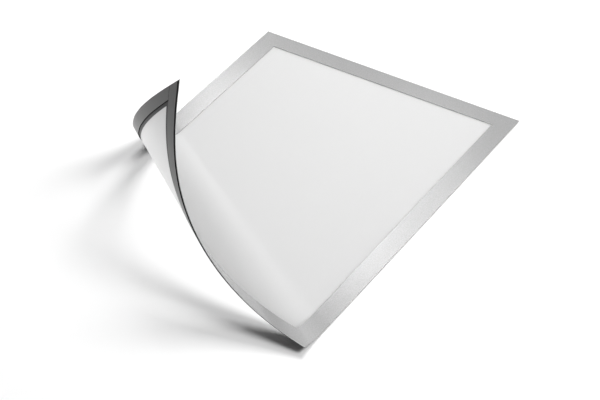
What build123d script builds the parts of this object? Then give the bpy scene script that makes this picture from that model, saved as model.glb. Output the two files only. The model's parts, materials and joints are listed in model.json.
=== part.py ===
from build123d import *
import math
import os

# Magnetic photo frame for one page: a silver border, a clear window film and four
# magnetic strips, laminated into one flexible sheet. The sheet lies on its back in the
# XY plane, front face up, and its lower left corner is peeled up into a curl.

# The page that the frame holds
page_width = 210.0
page_height = 297.0
page_clearance = 0.5
page_overlap = 3.0

# Magnetic strips behind the border
strip_width = 11.2
strip_inset = 1.3
strip_end_gap = 0.3

# Layers, from the back to the front
strip_thickness = 0.6
film_thickness = 0.15
border_thickness = 0.25

# The curl: it starts at a line from the left edge to the right edge, each end measured
# up from the bottom edge. From there the sheet bends evenly and then eases out to a
# straight tip. The fold lines spread like a fan, by this many degrees.
curl_start_left = 181.0
curl_start_right = 31.5
bend_radius = 58.5
easing_length = 59.0
fold_spread = 16.0
fold_count = 11

# The border reaches from the outer edge over the strips to just inside the page's edge
strip_margin = strip_inset + strip_width
outer_width = page_width + 2 * (page_clearance + strip_margin)
outer_height = page_height + 2 * (page_clearance + strip_margin)
window_width = page_width - 2 * page_overlap
window_height = page_height - 2 * page_overlap

film_bottom = strip_thickness
border_bottom = film_bottom + film_thickness
front_face = border_bottom + border_thickness

# The spine runs from the corner into the sheet and crosses the middle of the fan squarely
start_lean = math.atan2(curl_start_left - curl_start_right, outer_width)
spine_angle = 90 - math.degrees(start_lean) - fold_spread / 2
curl_length = curl_start_left * math.cos(start_lean) / math.cos(math.radians(fold_spread / 2))
even_length = curl_length - easing_length

# Angles of the curl in radians, as arc length over radius
even_turn = even_length / bend_radius
full_turn = even_turn + easing_length / (2 * bend_radius)
fold_turn = full_turn / fold_count


def slab(width, height, thickness, bottom, x=0.0, y=0.0):
    """A flat rectangle of one layer, centred at x and y."""
    upright = (Align.CENTER, Align.CENTER, Align.MIN)
    return Pos(x, y, bottom) * Box(width, height, thickness, align=upright)


def front_border():
    """The silver border, one die-cut piece with the window opening in it."""
    sheet = slab(outer_width, outer_height, border_thickness, border_bottom)
    window = slab(window_width, window_height, border_thickness, border_bottom)
    return sheet - window


def window_film():
    """The clear film, which reaches under the border as far as the strips do."""
    width = outer_width - 2 * strip_inset
    height = outer_height - 2 * strip_inset
    return slab(width, height, film_thickness, film_bottom)


def magnet_strip(edge_length, edge_distance, quarter_turns):
    """A strip along one edge: it runs out to one corner and butts against the next strip.

    It is laid along the bottom edge and then turned about the centre to its own edge.
    """
    length = edge_length - strip_inset - strip_margin - strip_end_gap
    x = strip_inset + (length - edge_length) / 2
    y = strip_inset + strip_width / 2 - edge_distance
    return Rot(0, 0, 90 * quarter_turns) * slab(length, strip_width, strip_thickness, 0, x, y)


def spine_distance(turn):
    """How far along the spine from the start of the bend the sheet has turned this much."""
    if turn <= even_turn:
        return turn * bend_radius
    return curl_length - math.sqrt(2 * bend_radius * easing_length * (full_turn - turn))


def fold_line(index):
    """Fold number index on the flat sheet: the plane that cuts there, and its hinge axis.

    The plane faces the corner. The axis lies in the front face, so the laminate opens
    at its back when it folds and closes up when it lies flat.
    """
    distance = spine_distance((index - 0.5) * fold_turn)
    spine = math.radians(spine_angle)
    from_corner = curl_length - distance
    x = -outer_width / 2 + from_corner * math.cos(spine)
    y = -outer_height / 2 + from_corner * math.sin(spine)
    heading = math.radians(180 + spine_angle + fold_spread * (0.5 - distance / curl_length))
    towards_corner = Vector(math.cos(heading), math.sin(heading), 0)
    cut = Plane(origin=(x, y, 0), z_dir=towards_corner)
    hinge = Axis((x, y, front_face), towards_corner.cross(Vector(0, 0, 1)))
    return cut, hinge


folds = [fold_line(index) for index in range(1, fold_count + 1)]


def facets(flat_piece):
    """Cut a flat piece at the fold lines: its part on the flat panel, then one per facet."""
    rest = [flat_piece]
    pieces = []
    for cut, _ in folds:
        pieces.append(split(rest, bisect_by=cut, keep=Keep.BOTTOM))
        rest = split(rest, bisect_by=cut, keep=Keep.TOP).solids()
    return pieces + [Part(rest)]


def fold_up(piece, facet):
    """Turn a facet about its own hinge, then about each hinge between it and the panel."""
    for _, hinge in reversed(folds[:facet]):
        piece = piece.rotate(hinge, math.degrees(fold_turn))
    return piece


flat_pieces = {
    "front_border": front_border(),
    "window_film": window_film(),
    "magnet_strip_bottom": magnet_strip(outer_width, outer_height / 2, 0),
    "magnet_strip_right": magnet_strip(outer_height, outer_width / 2, 1),
    "magnet_strip_top": magnet_strip(outer_width, outer_height / 2, 2),
    "magnet_strip_left": magnet_strip(outer_height, outer_width / 2, 3),
}

os.makedirs("parts", exist_ok=True)
for name, flat_piece in flat_pieces.items():
    for facet, piece in enumerate(facets(flat_piece)):
        if piece.solids():
            node = f"{name}_curl_{facet:02d}" if facet else name
            export_step(fold_up(piece, facet), f"parts/{node}.step")
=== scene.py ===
# %% [markdown]
# # A magnetic photo frame with one corner peeled up
# The real object is a flexible laminate. A silver border lies on a clear matte film, and four dark
# magnetic strips behind it hold the whole sheet to a board. The CAD model has the same layers, cut into
# flat facets along the curl, so that each facet can turn on its own hinge. Here every layer is modelled
# again as one smooth bend. The bend is written with the same few sizes as the CAD model, so that the
# two fit without any adjusting by eye.

import json
import math

import bmesh
import bpy
from mathutils import Matrix, Vector


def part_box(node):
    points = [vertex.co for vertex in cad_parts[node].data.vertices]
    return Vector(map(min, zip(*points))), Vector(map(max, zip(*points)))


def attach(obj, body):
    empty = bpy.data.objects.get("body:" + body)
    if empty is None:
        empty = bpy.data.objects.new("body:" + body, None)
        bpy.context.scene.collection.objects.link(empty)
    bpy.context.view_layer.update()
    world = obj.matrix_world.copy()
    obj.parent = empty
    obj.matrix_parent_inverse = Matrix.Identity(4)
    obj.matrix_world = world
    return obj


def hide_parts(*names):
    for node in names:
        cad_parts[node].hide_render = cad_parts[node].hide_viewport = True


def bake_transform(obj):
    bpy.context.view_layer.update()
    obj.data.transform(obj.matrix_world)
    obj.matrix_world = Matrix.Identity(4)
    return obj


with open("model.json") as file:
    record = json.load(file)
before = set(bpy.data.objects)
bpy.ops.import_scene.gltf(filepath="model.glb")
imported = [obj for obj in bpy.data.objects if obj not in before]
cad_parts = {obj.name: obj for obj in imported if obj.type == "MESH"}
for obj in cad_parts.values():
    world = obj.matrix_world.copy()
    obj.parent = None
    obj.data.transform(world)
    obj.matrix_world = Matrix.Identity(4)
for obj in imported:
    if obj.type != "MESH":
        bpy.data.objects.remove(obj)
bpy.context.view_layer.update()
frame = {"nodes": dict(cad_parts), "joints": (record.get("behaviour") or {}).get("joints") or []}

# %% [markdown]
# ## The sheet when it lies flat
# A laminate is easiest to model flat, because then every layer is a rectangle with a thickness. The CAD
# boxes give nearly all of it: the border's panel spans the full width, the top strip shows how wide a
# strip is and how far it stays from the edges, and each layer's height is the height of its box.

# %% Sizes of the flat sheet, in metres
mm = 0.001

border_low, border_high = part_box("front_border")
film_low, film_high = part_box("window_film")
top_strip_low, top_strip_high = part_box("magnet_strip_top")
right_strip_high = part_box("magnet_strip_right")[1]

half_width = border_high.x
half_height = border_high.y
front_face = border_high.z
strip_thickness = top_strip_high.z
strip_inset = half_height - top_strip_high.y
strip_width = top_strip_high.y - top_strip_low.y
strip_length = top_strip_high.x - top_strip_low.x
side_strip_length = right_strip_high.y + half_height - strip_inset

# The border is die-cut, so its width isn't the size of any box
border_width = 16 * mm

# A coat of adhesive keeps two layers apart by less than the eye can see
glue_line = 0.02 * mm
print("flat sheet:", [round(2 * size / mm, 2) for size in (half_width, half_height)], "mm")

# %% [markdown]
# ## How the corner curls
# A sheet that can't stretch bends only along straight lines. Those lines cross the curl side by side,
# like the slats of a roller blind, and here they spread like a fan, because the left edge is peeled
# back further than the bottom edge. The bend is even at first and then eases out to a straight tip.
# The sizes below are the ones that drive the CAD model. Each of its folds is divided into slats, enough
# of them to look round.

# %% The lines that the sheet bends along
curl_start_left = 181.0 * mm
curl_start_right = 31.5 * mm
bend_radius = 58.5 * mm
easing_length = 59.0 * mm
fold_spread = math.radians(16.0)

fold_count = len(frame["joints"])
slats_per_fold = 12
slat_count = fold_count * slats_per_fold

start_lean = math.atan2(curl_start_left - curl_start_right, 2 * half_width)
spine_angle = math.pi / 2 - start_lean - fold_spread / 2
curl_length = curl_start_left * math.cos(start_lean) / math.cos(fold_spread / 2)
even_turn = (curl_length - easing_length) / bend_radius
full_turn = even_turn + easing_length / (2 * bend_radius)
slat_turn = full_turn / slat_count
peeled_corner = Vector((-half_width, -half_height, front_face))
up = Vector((0, 0, 1))


def heading(angle):
    """A level direction, with the angle measured from the x axis."""
    return Vector((math.cos(angle), math.sin(angle), 0))


def spine_distance(turn):
    """How far along the curl's spine the sheet has turned this much."""
    if turn <= even_turn:
        return turn * bend_radius
    return curl_length - math.sqrt(2 * bend_radius * easing_length * (full_turn - turn))


def bend_line(slat):
    """A point on the flat sheet and the direction towards the corner, for a whole or half slat."""
    distance = spine_distance(slat * slat_turn)
    point = peeled_corner + heading(spine_angle) * (curl_length - distance)
    return point, heading(math.pi + spine_angle + fold_spread * (0.5 - distance / curl_length))


bend_lines = [bend_line(slat) for slat in range(slat_count + 1)]
print("the curl turns", round(math.degrees(full_turn), 1), "degrees over", round(curl_length / mm, 1), "mm")

# %% [markdown]
# ## Where each slat ends up
# Rolling the sheet up slat by slat means one small turn after another. Each turn happens about a line
# between two slats, in the front face, which is the inside of the curl. The turns multiply up to one
# matrix per slat, and that matrix takes any point of the flat sheet to its place in the curl.

# %% One matrix per slat
def turn_about(point, axis, angle):
    """A turn about a line through a point."""
    there = Matrix.Translation(point)
    return there @ Matrix.Rotation(angle, 4, axis) @ there.inverted()


slat_places = [Matrix.Identity(4)]
for slat in range(slat_count):
    point, towards_corner = bend_line(slat + 0.5)
    hinge_axis = towards_corner.cross(up)
    slat_places.append(slat_places[-1] @ turn_about(point, hinge_axis, slat_turn))


def slats_passed(flat_point):
    """How many bend lines lie between the flat panel and this point of the sheet."""
    on_the_line = 0.001 * mm
    passed = 0
    for point, towards_corner in bend_lines[1:]:
        if (flat_point - point).dot(towards_corner) < -on_the_line:
            break
        passed += 1
    return passed


tip = slat_places[-1] @ peeled_corner
print("the peeled corner stands", round(tip.z / mm, 1), "mm high")

# %% [markdown]
# ## Finishes
# All colours below are written as the hex values that a paint program shows. Blender works with linear
# light, so one function converts them. Patterns read where a point lay on the flat sheet, which each
# piece stores as an attribute, because grain that was rolled or printed on a flat sheet bends with it.

# %% Helpers for materials
def linear(hex_colour):
    """An sRGB hex colour as linear light, with full alpha."""
    parts = [int(hex_colour[i:i + 2], 16) / 255 for i in (1, 3, 5)]
    return [p / 12.92 if p <= 0.04045 else ((p + 0.055) / 1.055) ** 2.4 for p in parts] + [1.0]


def add_node(material, kind, inputs=None, **settings):
    """Add a node to a material; each input is a plain value or another node's output."""
    node = material.node_tree.nodes.new(kind)
    for name, value in settings.items():
        setattr(node, name, value)
    for name, value in (inputs or {}).items():
        if isinstance(value, bpy.types.NodeSocket):
            material.node_tree.links.new(value, node.inputs[name])
        else:
            node.inputs[name].default_value = value
    return node


def new_material(name):
    """An empty node material."""
    material = bpy.data.materials.new(name)
    material.use_nodes = True
    material.node_tree.nodes.clear()
    return material


def cover(material, surface):
    """Make a shader's output the surface of its material."""
    add_node(material, "ShaderNodeOutputMaterial", {"Surface": surface})
    print("made", material.name)


print("material helpers ready")

# %% Helpers for patterns
def per_metre(size):
    """A texture's scale for a pattern of this size in mm, since the coordinates are in metres."""
    return 1 / (size * mm)


def stored_place(material, attribute):
    """Where a point lay on the flat sheet, from an attribute of its piece."""
    return add_node(material, "ShaderNodeAttribute", attribute_name=attribute).outputs["Vector"]


def noise(material, place, scale, detail, roughness=0.5):
    """A random pattern; detail adds finer spots, and roughness makes those stronger."""
    inputs = {"Vector": place, "Scale": scale, "Detail": detail, "Roughness": roughness}
    return add_node(material, "ShaderNodeTexNoise", inputs).outputs["Fac"]


def mottled(material, pattern, dark, light):
    """A colour that follows a pattern between two hex colours.

    A mix node takes its two colours in sockets 6 and 7, and gives the mixed one in socket 2.
    """
    inputs = {"Factor": pattern, 6: linear(dark), 7: linear(light)}
    return add_node(material, "ShaderNodeMix", inputs, data_type="RGBA").outputs[2]


def uneven(material, pattern, low, high):
    """A number that follows a pattern between two values."""
    inputs = {"Value": pattern, "To Min": low, "To Max": high}
    return add_node(material, "ShaderNodeMapRange", inputs).outputs["Result"]


def relief(material, pattern, strength, depth):
    """A surface normal that shows a pattern as bumps of this depth."""
    inputs = {"Height": pattern, "Strength": strength, "Distance": depth}
    return add_node(material, "ShaderNodeBump", inputs).outputs["Normal"]


print("pattern helpers ready")

# %% [markdown]
# ### Satin silver PVC
# The border is PVC with a silver print: fine aluminium flakes in a clear satin coat. To the eye it is a
# mid grey that lights up softly where a lamp is mirrored. A principled shader with a smooth coat and only
# a trace of metal does that. Real flakes are too fine to show, so their grain is drawn about twenty times
# coarser.

# %% Satin silver PVC
flake_size = 0.9
ripple_size = 3.0
ripple_depth = 0.02 * mm

satin_silver = new_material("satin_silver_pvc")
place = stored_place(satin_silver, "flat_place")
flakes = noise(satin_silver, place, per_metre(flake_size), detail=2.0, roughness=0.7)
ripple = noise(satin_silver, place, per_metre(ripple_size), detail=1.0)
silver_shader = add_node(satin_silver, "ShaderNodeBsdfPrincipled", {
    "Base Color": mottled(satin_silver, flakes, "#767676", "#a0a0a0"),
    "Roughness": uneven(satin_silver, flakes, low=0.14, high=0.18),
    "Normal": relief(satin_silver, ripple, strength=0.05, depth=ripple_depth),
    "Metallic": 0.05,
    "IOR": 1.5,
    "Specular IOR Level": 0.3,
})
cover(satin_silver, silver_shader.outputs["BSDF"])

# %% [markdown]
# ### Black backing
# The border's rear is coated black, so that nothing shines through the silver. The film is glued to it,
# and glue fills the film's embossing, so the black shows through there as if the film were wet. One
# smooth, faintly uneven black therefore serves for the bare coat and for the film that is glued to it.

# %% Black backing
coat_grain_size = 0.8

black_backing = new_material("black_backing")
place = stored_place(black_backing, "flat_place")
coat_grain = noise(black_backing, place, per_metre(coat_grain_size), detail=2.0)
coat_shader = add_node(black_backing, "ShaderNodeBsdfPrincipled", {
    "Base Color": mottled(black_backing, coat_grain, "#2e2e2e", "#3a3a3a"),
    "Roughness": uneven(black_backing, coat_grain, low=0.4, high=0.5),
    "IOR": 1.5,
})
cover(black_backing, coat_shader.outputs["BSDF"])

# %% [markdown]
# ### Matte clear film
# The window is clear polypropylene with an embossed matte surface, so that a page behind it doesn't
# glare. It passes nearly all light on but scatters it: what touches the film shows through it, and what
# lies further off is a blur. A translucent shader scatters light onwards, a diffuse one scatters a little
# back, and a rough glossy one adds the sheen. A film scatters mostly forwards, which a translucent shader
# can't do, so rays from lamps and from the paper nearby go straight through, and its shadow stays pale.

# %% Matte clear film
emboss_size = 0.8
emboss_depth = 0.02 * mm
onward_share = 0.85
sheen_share = 0.3


def mix_shaders(material, share, first, second):
    """Mix two shaders; share is the second one's, a number or a socket that gives it."""
    inputs = {"Fac": share, 1: first, 2: second}
    return add_node(material, "ShaderNodeMixShader", inputs).outputs["Shader"]


clear_film = new_material("matte_clear_film")
place = stored_place(clear_film, "flat_place")
emboss = noise(clear_film, place, per_metre(emboss_size), detail=3.0, roughness=0.6)
embossed = relief(clear_film, emboss, strength=0.1, depth=emboss_depth)
film_tint = mottled(clear_film, emboss, "#cccccc", "#d3d3d3")

film_face = add_node(clear_film, "ShaderNodeBsdfDiffuse", {"Color": film_tint, "Normal": embossed})
film_depth = add_node(clear_film, "ShaderNodeBsdfTranslucent", {"Color": film_tint})
film_sheen = add_node(clear_film, "ShaderNodeBsdfGlossy", {"Normal": embossed, "Roughness": 0.48})
film_pass = add_node(clear_film, "ShaderNodeBsdfTransparent", {"Color": linear("#fbfbfb")})
rays = add_node(clear_film, "ShaderNodeLightPath")

body = mix_shaders(clear_film, onward_share, film_face.outputs["BSDF"], film_depth.outputs["BSDF"])
seen = mix_shaders(clear_film, sheen_share, body, film_sheen.outputs["BSDF"])
lit = mix_shaders(clear_film, rays.outputs["Is Shadow Ray"], seen, film_pass.outputs["BSDF"])
cover(clear_film, mix_shaders(clear_film, rays.outputs["Is Diffuse Ray"], lit, film_pass.outputs["BSDF"]))

# %% [markdown]
# ### Calendered magnetic rubber
# The strips are ferrite powder in rubber, rolled to a thin band. It is dark grey and dull, and the rollers
# leave faint lines along its length. The lines come from a noise that is stretched along the strip: each
# strip stores its own direction, so that one material serves all four.

# %% Calendered magnetic rubber
line_width = 0.7
line_length = 60.0
line_depth = 0.03 * mm

magnetic_rubber = new_material("calendered_magnetic_rubber")
line_scale = (per_metre(line_length), per_metre(line_width), per_metre(line_width))
stretched = add_node(magnetic_rubber, "ShaderNodeMapping",
                     {"Vector": stored_place(magnetic_rubber, "strip_place"), "Scale": line_scale})
lines = noise(magnetic_rubber, stretched.outputs["Vector"], scale=1.0, detail=3.0, roughness=0.65)
rubber_shader = add_node(magnetic_rubber, "ShaderNodeBsdfPrincipled", {
    "Base Color": mottled(magnetic_rubber, lines, "#525252", "#646464"),
    "Roughness": uneven(magnetic_rubber, lines, low=0.28, high=0.38),
    "Normal": relief(magnetic_rubber, lines, strength=0.2, depth=line_depth),
    "IOR": 1.5,
})
cover(magnetic_rubber, rubber_shader.outputs["BSDF"])

# %% [markdown]
# ### Slit rubber edge, with painted shade
# The strips are slit from a wide sheet. The rollers leave a grey bloom on the faces, and the slit sides are
# the rubber's darker inside, rough, with fine knife marks. Their near-black is partly that and partly
# painted shade.

# %% Slit rubber edge, with painted shade
knife_mark_size = 0.3

slit_rubber_with_shade = new_material("slit_magnetic_rubber_painted_shade")
place = stored_place(slit_rubber_with_shade, "strip_place")
knife_marks = noise(slit_rubber_with_shade, place, per_metre(knife_mark_size), detail=2.0)
# Near-black base colour: partly the cut rubber, partly painted shade on the thin slit walls
slit_shader = add_node(slit_rubber_with_shade, "ShaderNodeBsdfPrincipled", {
    "Base Color": mottled(slit_rubber_with_shade, knife_marks, "#0c0c0c", "#161616"),
    "Roughness": 0.9,
    "Specular IOR Level": 0.1,
})
cover(slit_rubber_with_shade, slit_shader.outputs["BSDF"])

# %% [markdown]
# ## Cutting and bending one piece
# A layer starts as a flat rectangle. Cutting it with a plane at every bend line gives it an edge wherever
# it will bend. Cutting away what lies outside one zone leaves one piece: zone 0 is the flat panel, and
# each further zone is what bends at one hinge. Extruding gives the piece its thickness. Only then does
# each corner of the mesh move with its slat, so the layers stay parallel and share their edges from piece
# to piece.

# %% Flat shapes, and a thickness for them
panel = 0
zones = range(fold_count + 1)


def flat_rectangle(low, high, level):
    """A bmesh with one flat rectangle at this height."""
    shape = bmesh.new()
    bmesh.ops.create_grid(shape, x_segments=1, y_segments=1, size=0.5)
    size = Vector((high[0] - low[0], high[1] - low[1], 1))
    centre = Vector(((low[0] + high[0]) / 2, (low[1] + high[1]) / 2, level))
    bmesh.ops.scale(shape, vec=size, verts=shape.verts)
    bmesh.ops.translate(shape, vec=centre, verts=shape.verts)
    return shape


def divide_off_window(shape, margin):
    """Divide a rectangle into a margin of this width and the window inside it, which is returned."""
    window = shape.faces[:]
    bmesh.ops.inset_region(shape, faces=window, thickness=margin, use_boundary=True, use_even_offset=True)
    return window


def cut_at_bends(shape, zone):
    """Keep what lies in one zone, with an edge on each bend line there."""
    cut_tolerance = 1e-7
    last = zone * slats_per_fold
    first = max(0, last - slats_per_fold)
    for slat in range(first, last + 1):
        point, towards_corner = bend_lines[slat]
        everything = shape.verts[:] + shape.edges[:] + shape.faces[:]
        bmesh.ops.bisect_plane(shape, geom=everything, plane_co=point, plane_no=towards_corner,
                               dist=cut_tolerance,
                               clear_inner=slat == first and zone > panel,
                               clear_outer=slat == last and zone < fold_count)


def thicken(shape, thickness):
    """Extrude a flat shape upwards into a closed slab."""
    made = bmesh.ops.extrude_face_region(shape, geom=shape.faces[:])
    raised = [part for part in made["geom"] if isinstance(part, bmesh.types.BMVert)]
    bmesh.ops.translate(shape, vec=(0, 0, thickness), verts=raised)
    bmesh.ops.recalc_face_normals(shape, faces=shape.faces)


print("shapes are cut at", len(bend_lines), "bend lines")

# %% From a flat shape to a bent piece
sharp_edge = math.radians(30)

# The mesh operators list what they make in an order that changes from run to run. Sorting along this
# slanted direction, in which no two corners of a piece are level, makes every run the same.
sorting_axis = Vector((1, 1e3, 1e6))


def put_in_order(shape):
    """List a shape's corners, edges and faces in an order that is the same in every run."""
    shape.verts.sort(key=lambda vert: vert.co.dot(sorting_axis))
    shape.edges.sort(key=lambda edge: sum(vert.co.dot(sorting_axis) for vert in edge.verts))
    shape.faces.sort(key=lambda face: face.calc_center_median().dot(sorting_axis))


def looks_down(face):
    """Whether a face is on the rear of a slab that is still flat."""
    return face.normal.z < -0.5


def looks_sideways(face):
    """Whether a face is one of the sides of a slab that is still flat."""
    return abs(face.normal.z) <= 0.5


def use_second_material(shape, wanted):
    """Give the second of a piece's two materials to the wanted faces, and the first to all others."""
    for face in shape.faces:
        face.material_index = 1 if wanted(face) else 0


def bent_piece(name, shape, materials, along=None):
    """Bend a flat closed shape into the curl and make it an object.

    The place of each point on the flat sheet goes into an attribute. A strip, for which
    along gives the axis that it runs along, also stores it with that axis first.
    """
    put_in_order(shape)
    flat_place = shape.verts.layers.float_vector.new("flat_place")
    strip_place = shape.verts.layers.float_vector.new("strip_place") if along else None
    for vert in shape.verts:
        vert[flat_place] = vert.co
        if along:
            vert[strip_place] = vert.co.yxz if along == "y" else vert.co
        vert.co = slat_places[slats_passed(vert.co)] @ vert.co
    mesh = bpy.data.meshes.new(name)
    shape.to_mesh(mesh)
    shape.free()
    for material in materials:
        mesh.materials.append(material)
    mesh.shade_smooth()
    mesh.set_sharp_from_angle(angle=sharp_edge)
    piece = bpy.data.objects.new(name, mesh)
    bpy.context.scene.collection.objects.link(piece)
    return piece


print("pieces bend over", slat_count, "slats of", round(math.degrees(slat_turn), 2), "degrees")

# %% [markdown]
# ## The silver border
# The border is one die-cut ring, so it starts as the whole rectangle and loses its window. Its face and
# its cut sides are silver and its rear is black, so only the faces that look down get the black.

# %% Silver border
border_bottom = border_low.z + glue_line


def border_shape(zone):
    """The part of the border in one zone, still flat."""
    shape = flat_rectangle((-half_width, -half_height), (half_width, half_height), border_bottom)
    window = divide_off_window(shape, border_width)
    bmesh.ops.delete(shape, geom=window, context="FACES")
    cut_at_bends(shape, zone)
    thicken(shape, front_face - border_bottom)
    use_second_material(shape, looks_down)
    return shape


border_pieces = {}
for zone in zones:
    border_pieces[zone] = bent_piece(f"silver_border_{zone:02d}", border_shape(zone),
                                     [satin_silver, black_backing])
print("border pieces and faces:", {o.name: len(o.data.polygons) for o in border_pieces.values()})

# %% [markdown]
# ## The window film
# The film is one clear sheet. It reaches under the border as far as the strips do, so its own edge never
# shows from the front. Its margin is glued to the border's black rear and looks black, and only the window
# is clear. It is cut at the same lines as the border, and lies between border and strips.

# %% Window film
film_half_width = half_width - strip_inset
film_half_height = half_height - strip_inset
film_bottom = film_low.z + glue_line
glued_margin = border_width - strip_inset


def film_shape(zone):
    """The part of the film in one zone, still flat."""
    low, high = (-film_half_width, -film_half_height), (film_half_width, film_half_height)
    shape = flat_rectangle(low, high, film_bottom)
    window = divide_off_window(shape, glued_margin)
    use_second_material(shape, lambda face: face not in window)
    cut_at_bends(shape, zone)
    thicken(shape, film_high.z - film_bottom)
    return shape


film_pieces = {}
for zone in zones:
    film_pieces[zone] = bent_piece(f"window_film_{zone:02d}", film_shape(zone), [clear_film, black_backing])
print("film pieces:", len(film_pieces))

# %% [markdown]
# ## The magnetic strips
# Each strip runs out to one corner and butts against the next strip, so the four of them go round the
# frame like the sails of a windmill. One function makes any of them from the area it covers; a strip that
# doesn't reach a zone has no piece there. The slit sides of a strip get a near-black material of their own,
# partly painted shade.

# %% Magnetic strips
edge_near = strip_inset
edge_far = strip_inset + strip_width
strip_areas = {
    "bottom": ((-half_width + edge_near, -half_height + edge_near),
               (-half_width + edge_near + strip_length, -half_height + edge_far), "x"),
    "right": ((half_width - edge_far, -half_height + edge_near),
              (half_width - edge_near, -half_height + edge_near + side_strip_length), "y"),
    "top": ((half_width - edge_near - strip_length, half_height - edge_far),
            (half_width - edge_near, half_height - edge_near), "x"),
    "left": ((-half_width + edge_near, half_height - edge_near - side_strip_length),
             (-half_width + edge_far, half_height - edge_near), "y"),
}


def strip_pieces(side):
    """The pieces of one strip, by zone."""
    low, high, along = strip_areas[side]
    made = {}
    for zone in zones:
        shape = flat_rectangle(low, high, 0)
        cut_at_bends(shape, zone)
        if shape.faces:
            thicken(shape, strip_thickness)
            # The slit sides get the near-black rubber, which partly paints the shade on these walls
            use_second_material(shape, looks_sideways)
            made[zone] = bent_piece(f"magnet_strip_{side}_{zone:02d}", shape,
                                    [magnetic_rubber, slit_rubber_with_shade], along)
    return made


strips = {side: strip_pieces(side) for side in strip_areas}
print("strip pieces:", {side: len(made) for side, made in strips.items()})

# %% [markdown]
# ## Spans at the hinges
# The CAD facets turn on hinges, and each smooth piece of the curl lies half on one facet and half on the
# next. For each hinge a span is found, centred on the hinge, that starts and ends inside the piece, so
# that its two ends stay clear of both seams.

# %% Where each piece spans two facets
seam_margin = 0.2 * mm


def facet_body(facet):
    """The CAD body of a facet; facet 0 is the flat panel."""
    return f"curl_{facet:02d}" if facet else "panel"


def line_ends(slat):
    """Where a bend line meets the sheet's edges: on the left, and at the bottom or on the right."""
    point, towards_corner = bend_lines[slat]
    along = up.cross(towards_corner)
    to_left = (-half_width - point.x) / along.x
    to_right = (half_width - point.x) / along.x
    to_bottom = (-half_height - point.y) / along.y
    return [slat_places[slat] @ (point + along * reach) for reach in (to_left, min(to_right, to_bottom))]


def blend_span(zone):
    """Two points, clear of both seams, that span the pieces at one hinge."""
    last = zone * slats_per_fold
    first = last - slats_per_fold
    middle = (first + last) // 2
    direction = slat_places[middle].to_3x3() @ bend_lines[middle][1]
    hinge = direction.dot(slat_places[middle] @ bend_lines[middle][0])
    near_seam = max(direction.dot(end) for end in line_ends(first)) + seam_margin
    far_seam = min(direction.dot(end) for end in line_ends(last)) - seam_margin
    reach = min(hinge - near_seam, far_seam - hinge)
    return direction * (hinge - reach), direction * (hinge + reach)


spans = {zone: blend_span(zone) for zone in zones if zone > panel}
print("blends are", [round((end - start).length / mm, 1) for start, end in spans.values()], "mm long")

# %% [markdown]
# ## Standing in for the CAD pieces
# The smooth pieces take the place of the CAD facets, which stay in the simulation for collision. The flat
# pieces ride on the panel. A facet's two halves lie in two zones, so each piece stands for the CAD nodes
# up to its zone that no earlier piece stands for.

# %% Riding and replacing
def facet_of(node):
    """The facet that a CAD node lies on; 0 is the flat panel."""
    return int(node.split("_curl_")[1]) if "_curl_" in node else 0


layers = {"front_border": ("silver_border", border_pieces), "window_film": ("clear_film", film_pieces)}
for side, pieces in strips.items():
    layers[f"magnet_strip_{side}"] = ("magnetic_rubber", pieces)

for layer, (slot, pieces) in layers.items():
    waiting = sorted(node for node in frame["nodes"] if node.startswith(layer))
    for zone, piece in pieces.items():
        if zone == panel:
            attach(piece, facet_body(panel))
        else:
            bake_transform(piece)
        mine = [node for node in waiting if facet_of(node) <= zone]
        waiting = [node for node in waiting if node not in mine]
        if mine:
            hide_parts(*mine)
    print(layer, "has", len(pieces), "pieces, CAD nodes left over:", waiting)

# %% [markdown]
# ## The stage
# The frame lies on white paper, which is wide enough to have no edge in the picture. The camera stands
# where a fit to the edges in the photo puts it, with a long lens.

# %% Floor
floor_size = 12.0

floor_shape = bmesh.new()
bmesh.ops.create_grid(floor_shape, x_segments=1, y_segments=1, size=floor_size / 2)
floor_mesh = bpy.data.meshes.new("paper_floor")
floor_shape.to_mesh(floor_mesh)
floor_shape.free()
floor = bpy.data.objects.new("paper_floor", floor_mesh)
bpy.context.scene.collection.objects.link(floor)

paper = new_material("white_paper")
paper_shader = add_node(paper, "ShaderNodeBsdfPrincipled",
                        {"Base Color": linear("#f4f4f4"), "Roughness": 0.9, "Specular IOR Level": 0.1})
cover(paper, paper_shader.outputs["BSDF"])
floor_mesh.materials.append(paper)
print("floor:", floor_size, "m")

# %% Camera
camera_place = Vector((0.7869, -1.2396, 1.1430))
camera_aim = Vector((0.0235, -0.0153, 0.0))
camera_roll = math.radians(0.05)

camera_data = bpy.data.cameras.new("camera")
camera_data.lens = 145.29
camera_data.sensor_width = 36.0
camera_data.sensor_fit = "HORIZONTAL"
camera = bpy.data.objects.new("camera", camera_data)
view = (camera_aim - camera_place).to_track_quat("-Z", "Y").to_matrix().to_4x4()
camera.matrix_world = Matrix.Translation(camera_place) @ view @ Matrix.Rotation(camera_roll, 4, "Z")
bpy.context.scene.collection.objects.link(camera)
bpy.context.scene.camera = camera
print("camera:", round((camera_aim - camera_place).length, 3), "m from the middle of the frame")

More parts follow.
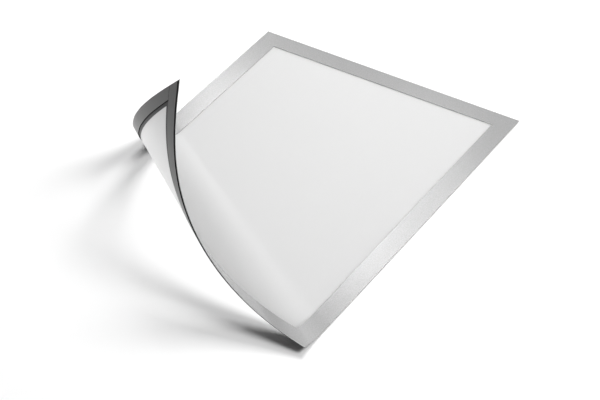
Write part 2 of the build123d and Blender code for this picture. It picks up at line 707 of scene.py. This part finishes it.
# %% [markdown]
# ### Lights
# A key light stands high on the right and a large light behind, so the curl's soft shadows fall to the
# left and to the front. The light behind isn't mirrored. A wide, weak one is, and gives the silver an even
# sheen. The narrow band light and the small glow light stand where the flat border mirrors them towards
# the camera, and draw the soft bright band across it. The curl would mirror these two as glints, so they
# are kept off its border, as a photographer would do with a card, and a broad light takes their place.

# %% Lights
def soft_light(name, place, size, power, roll=0.0):
    """A rectangular light that faces the middle of the frame, rolled by some degrees."""
    lamp = bpy.data.lights.new(name, "AREA")
    lamp.shape = "RECTANGLE"
    lamp.size, lamp.size_y = size
    lamp.energy = power
    holder = bpy.data.objects.new(name, lamp)
    turn = (-Vector(place)).to_track_quat("-Z", "Y").to_matrix().to_4x4()
    tilt = Matrix.Rotation(math.radians(roll), 4, "Z")
    holder.matrix_world = Matrix.Translation(place) @ turn @ tilt
    bpy.context.scene.collection.objects.link(holder)
    return holder


soft_light("key_light", place=(1.76, 0.78, 2.30), size=(1.5, 1.5), power=74)
back_light = soft_light("back_light", place=(-0.32, 1.78, 1.74), size=(1.0, 0.85), power=44)
back_light.visible_glossy = False
soft_light("sheen_light", place=(-0.60, 2.44, 1.60), size=(2.4, 2.0), power=16)
band_light = soft_light("band_light", place=(-1.00, 1.61, 1.50), size=(0.50, 0.14), power=4.0, roll=-43)
glow_light = soft_light("glow_light", place=(-0.77, 1.73, 1.53), size=(0.3, 0.15), power=1.2, roll=-48)
curl_light = soft_light("curl_light", place=(-0.82, 1.63, 1.67), size=(1.8, 1.6), power=16)

# %% What each light falls on, and the light all round
ambient_strength = 0.1


def border_curl(name, link_state):
    """A collection that links lights to the border's curl, or keeps them off it."""
    group = bpy.data.collections.new(name)
    for zone in spans:
        group.objects.link(border_pieces[zone])
    for link in group.collection_objects:
        link.light_linking.link_state = link_state
    return group


off_the_curl = border_curl("off_the_curl", "EXCLUDE")
band_light.light_linking.receiver_collection = off_the_curl
glow_light.light_linking.receiver_collection = off_the_curl
curl_light.light_linking.receiver_collection = border_curl("on_the_curl", "INCLUDE")

world = bpy.data.worlds.new("studio")
world.use_nodes = True
background = world.node_tree.nodes["Background"]
background.inputs["Color"].default_value = linear("#ffffff")
background.inputs["Strength"].default_value = ambient_strength
bpy.context.scene.world = world
bpy.context.scene.view_settings.view_transform = "Standard"
